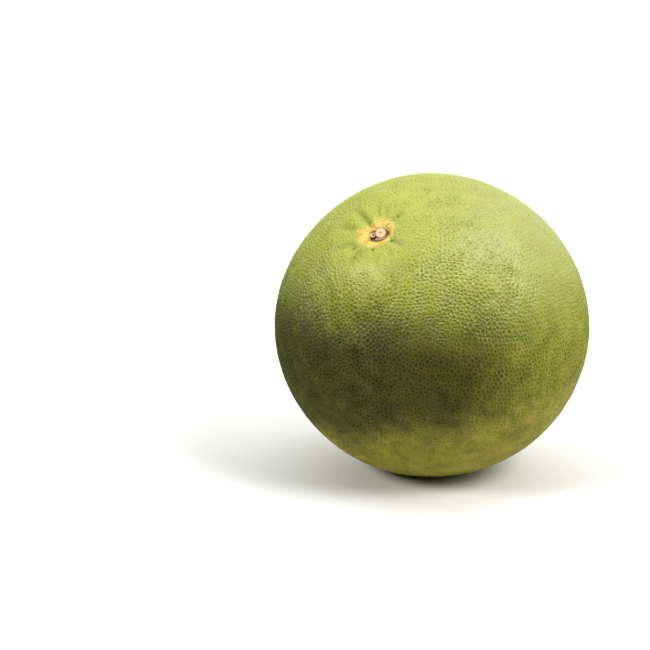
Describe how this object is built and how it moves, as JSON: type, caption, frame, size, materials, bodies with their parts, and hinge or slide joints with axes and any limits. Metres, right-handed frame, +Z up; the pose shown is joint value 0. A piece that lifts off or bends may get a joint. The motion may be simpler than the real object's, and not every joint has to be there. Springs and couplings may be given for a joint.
{
  "type": "pomelo",
  "caption": "Whole pomelo lying on a small flat spot, with a pitted yellow-green rind, creases round its stem hollow, and a woody button with a cut stalk.",
  "frame": {"origin": "on the surface that the fruit lies on, under its middle", "axes": "+Z up, -Y to the front, +X to the right as seen from the front; the stem end points up, forwards and to the left"},
  "size_m": [0.16, 0.1576, 0.1525],
  "materials": {
    "rind": "waxy, pitted, soft sheen",
    "calyx": "dry, matte",
    "stalk": "freshly cut, matte"
  },
  "bodies": {
    "root": {"fruit": "rind", "calyx": "calyx", "stalk_stub": "stalk"}
  },
  "joints": []
}
